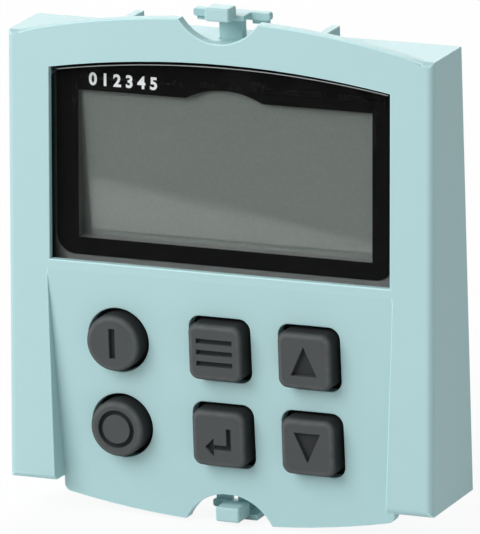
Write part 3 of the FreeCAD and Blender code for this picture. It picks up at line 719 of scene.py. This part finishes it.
class PANEL_OT_window(bpy.types.Operator):
    """Builds the window lens and numerals and finishes the display behind them"""
    bl_idname = "panel.window"
    bl_label = "Window and display"

    def execute(self, context):
        scene = context.scene
        broken_edges("display_lens", "window_lens", "panel", "lens acrylic",
                     "lens acrylic", scene.panel_sizes.lens_edge)
        paint({"display_mask": "window print", "lens_tape": "black tape",
               "display_frame": "frame plastic", "front_polariser": "display film",
               "rear_polariser": "display film", "lcd_front_glass": "display glass",
               "lcd_rear_glass": "display glass", "light_guide": "light guide",
               "reflector_film": "white film", "backlight_leds": "lamp resin",
               "contact_strips": "striped silicone"})
        self.bead(scene)
        self.numerals(scene)
        return {"FINISHED"}

    def bead(self, scene):
        """A fine pale bead on the lens's leaning face that follows the arch of its top edge: a
        painted highlight for the light caught along the window's rim.

        The surface is an ellipse swept along the arch and closed by a cap at each end.
        """
        sizes = scene.panel_sizes
        low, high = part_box("display_lens")
        half = (high.x - low.x) / 2 - sizes.bead_inset
        x = np.linspace(-half, half, BEAD_PLACES)
        rise = sizes.lens_arch - np.sqrt(sizes.lens_arch ** 2 - x ** 2)
        z = high.z - sizes.bead_inset - rise
        y = face_depth(z, low)
        turn = np.linspace(0, 2 * math.pi, BEAD_POINTS, endpoint=False)
        wide, tall = sizes.bead_width / 2, sizes.bead_width / 3
        ring = np.stack([np.repeat(x[:, None], BEAD_POINTS, axis=1),
                         y[:, None] + tall * np.sin(turn), z[:, None] + wide * np.cos(turn)],
                        axis=-1)
        first = np.arange(BEAD_PLACES - 1)[:, None] * BEAD_POINTS
        ahead = first + BEAD_POINTS
        j = np.arange(BEAD_POINTS)
        k = (j + 1) % BEAD_POINTS
        quads = np.stack([first + j, first + k, ahead + k, ahead + j], axis=-1)
        caps = [j[::-1].tolist(), (j + ahead[-1, 0]).tolist()]
        faces = quads.reshape(-1, 4).tolist() + caps
        mesh = bpy.data.meshes.new("window_highlight_strip")
        mesh.from_pydata(ring.reshape(-1, 3).tolist(), [], faces)
        face_out(mesh)
        # The bead's pale colour is a painted highlight.
        settle("window_highlight_strip", "panel", mesh, "lens painted highlight", [])

    def numerals(self, scene):
        """Plain numerals in relief on the window print, set on its leaning face."""
        height = scene.panel_sizes.digit_height
        text = bpy.data.curves.new("numerals", "FONT")
        text.body = scene.panel_colours.digits
        text.size = height / NUMERAL_SHARE
        text.offset = height * STROKE_GAIN
        text.extrude = NUMERAL_RELIEF
        holder = bpy.data.objects.new("numerals", text)
        scene.collection.objects.link(holder)
        bpy.context.view_layer.update()
        mesh = bpy.data.meshes.new_from_object(holder)
        bpy.data.objects.remove(holder)
        low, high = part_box("display_mask")
        z = high.z - NUMERALS_DOWN
        y = face_depth(z, low) - NUMERAL_LIFT
        turn = Matrix.Rotation(math.pi / 2 - LEAN, 4, "X")
        mesh.transform(Matrix.Translation((low.x + NUMERALS_RIGHT, y, z)) @ turn)
        settle("window_numerals", "panel", mesh, "numeral print", [])


class PANEL_OT_electronics(bpy.types.Operator):
    """Finishes the circuit board, its parts and the rear socket"""
    bl_idname = "panel.electronics"
    bl_label = "Circuit board and socket"

    def execute(self, context):
        paint({"circuit_board": "board laminate", "controller_chip": "chip resin",
               "memory_chip": "chip resin", "voltage_regulator": "chip resin",
               "crystal": "crystal can", "chip_resistors": "resistor ceramic",
               "chip_capacitors": "capacitor ceramic", "rear_socket": "socket plastic",
               "socket_contacts": "contact brass"})
        return {"FINISHED"}


class PANEL_OT_stage(bpy.types.Operator):
    """Sets the white floor, the soft lamps, the world and the camera"""
    bl_idname = "panel.stage"
    bl_label = "Stage, lamps and camera"

    def execute(self, context):
        scene = context.scene
        self.floor(scene)
        self.card(scene)
        self.lamps(scene)
        self.camera(scene)
        scene.view_settings.view_transform = "Standard"
        return {"FINISHED"}

    def floor(self, scene):
        """White paper under the panel, which glows for the camera, mirrors and lenses."""
        level = cad_low.z - FLOOR_GAP
        reach = FLOOR_REACH
        mesh = bpy.data.meshes.new("studio_floor")
        mesh.from_pydata([(-reach, -reach, level), (reach, -reach, level), (reach, reach, level),
                          (-reach, reach, level)], [], [(0, 1, 2, 3)])
        mat = bpy.data.materials.new("studio paper")
        mat.use_nodes = True
        tree = mat.node_tree
        paper = tree.nodes["Principled BSDF"]
        paper.inputs["Base Color"].default_value = (0.86, 0.86, 0.86, 1)
        paper.inputs["Roughness"].default_value = 0.9
        glow = tree.nodes.new("ShaderNodeEmission")
        path = tree.nodes.new("ShaderNodeLightPath")
        seen = maths(tree, "MAXIMUM", path.outputs["Is Camera Ray"], path.outputs["Is Glossy Ray"])
        seen = maths(tree, "MAXIMUM", seen, path.outputs["Is Transmission Ray"])
        both = tree.nodes.new("ShaderNodeMixShader")
        tree.links.new(maths(tree, "MULTIPLY", seen, FLOOR_GLOW), both.inputs[0])
        tree.links.new(paper.outputs[0], both.inputs[1])
        tree.links.new(glow.outputs[0], both.inputs[2])
        tree.links.new(both.outputs[0], tree.nodes["Material Output"].inputs["Surface"])
        mesh.materials.append(mat)
        floor = bpy.data.objects.new("studio_floor", mesh)
        scene.collection.objects.link(floor)

    def card(self, scene):
        """A dark card in front of the panel, which shows only in mirrors and through lenses.

        Its near side slants, so the display mirrors a slanting line. x and y are in metres.
        """
        level = cad_low.z + FLOOR_GAP
        mesh = bpy.data.meshes.new("dark_card")
        near = ((0.2, -0.0216), (-0.4, -0.2564))
        far = ((-0.4, -1.2), (0.6, -1.2), (0.6, -0.0216))
        mesh.from_pydata([(x, y, level) for x, y in near + far], [], [(0, 1, 2, 3, 4)])
        mat = bpy.data.materials.new("dark card")
        mat.use_nodes = True
        mat.node_tree.nodes["Principled BSDF"].inputs["Base Color"].default_value = (
            0.01, 0.01, 0.01, 1)
        mesh.materials.append(mat)
        board = bpy.data.objects.new("dark_card", mesh)
        for ray in ("camera", "diffuse", "shadow", "volume_scatter"):
            setattr(board, "visible_" + ray, False)
        scene.collection.objects.link(board)

    def lamps(self, scene):
        """An even world and two square lamps that point at the panel.

        Each lamp has a name, a place and a side in metres, and a power in watts.
        """
        world = bpy.data.worlds.new("studio")
        scene.world = world
        world.use_nodes = True
        back = world.node_tree.nodes["Background"]
        back.inputs["Color"].default_value = (1, 1, 1, 1)
        back.inputs["Strength"].default_value = 0.36
        plan = (("key_lamp", (-0.39, -0.57, 0.55), 0.6, 6.1),
                ("back_lamp", (-0.28, 0.92, 0.50), 0.7, 6.3))
        for name, place, size, power in plan:
            data = bpy.data.lights.new(name, "AREA")
            data.shape = "SQUARE"
            data.size = size
            data.energy = power
            lamp = bpy.data.objects.new(name, data)
            lamp.location = place
            lamp.rotation_euler = (-Vector(place)).to_track_quat("-Z", "Y").to_euler()
            scene.collection.objects.link(lamp)

    def camera(self, scene):
        """A long lens from the front right, a little above. It holds its place and its axes."""
        data = bpy.data.cameras.new("camera")
        data.sensor_width = 36.0
        data.lens = 606.74          # millimetres, as is the sensor's width
        data.clip_start = 0.01
        data.clip_end = 20.0
        cam = bpy.data.objects.new("camera", data)
        place = (0.389935, -0.853435, 0.261220)
        ahead = Vector((-0.40167674, 0.87510258, -0.26990975))
        right = Vector((0.9120514, 0.40884536, -0.03174472))
        up = Vector((-0.08257146, 0.25892268, 0.9623622))
        turn = Matrix((right, up, -ahead)).transposed().to_4x4()
        cam.matrix_world = Matrix.Translation(place) @ turn
        scene.collection.objects.link(cam)
        scene.camera = cam


class PANEL_PT_sidebar(bpy.types.Panel):
    """Lists the steps that build the operator panel"""
    bl_idname = "PANEL_PT_sidebar"
    bl_label = "Operator panel"
    bl_space_type = "VIEW_3D"
    bl_region_type = "UI"
    bl_category = "Operator panel"

    def draw(self, context):
        for name in STEPS:
            self.layout.operator("panel." + name)
        for group in (context.scene.panel_sizes, context.scene.panel_colours):
            for label in group.__annotations__:
                self.layout.prop(group, label)


STEPS = ("housing", "latches", "keys", "window", "electronics", "stage")
CLASSES = (PanelSizes, PanelColours, PANEL_OT_housing, PANEL_OT_latches, PANEL_OT_keys,
           PANEL_OT_window, PANEL_OT_electronics, PANEL_OT_stage, PANEL_PT_sidebar)


def register():
    for cls in CLASSES:
        bpy.utils.register_class(cls)
    bpy.types.Scene.panel_sizes = PointerProperty(type=PanelSizes)
    bpy.types.Scene.panel_colours = PointerProperty(type=PanelColours)


def unregister():
    del bpy.types.Scene.panel_colours
    del bpy.types.Scene.panel_sizes
    for cls in reversed(CLASSES):
        bpy.utils.unregister_class(cls)


def main():
    register()
    for name in STEPS:
        if getattr(bpy.ops.panel, name)() != {"FINISHED"}:
            raise RuntimeError("the step did not finish: " + name)


if __name__ == "__main__":
    main()
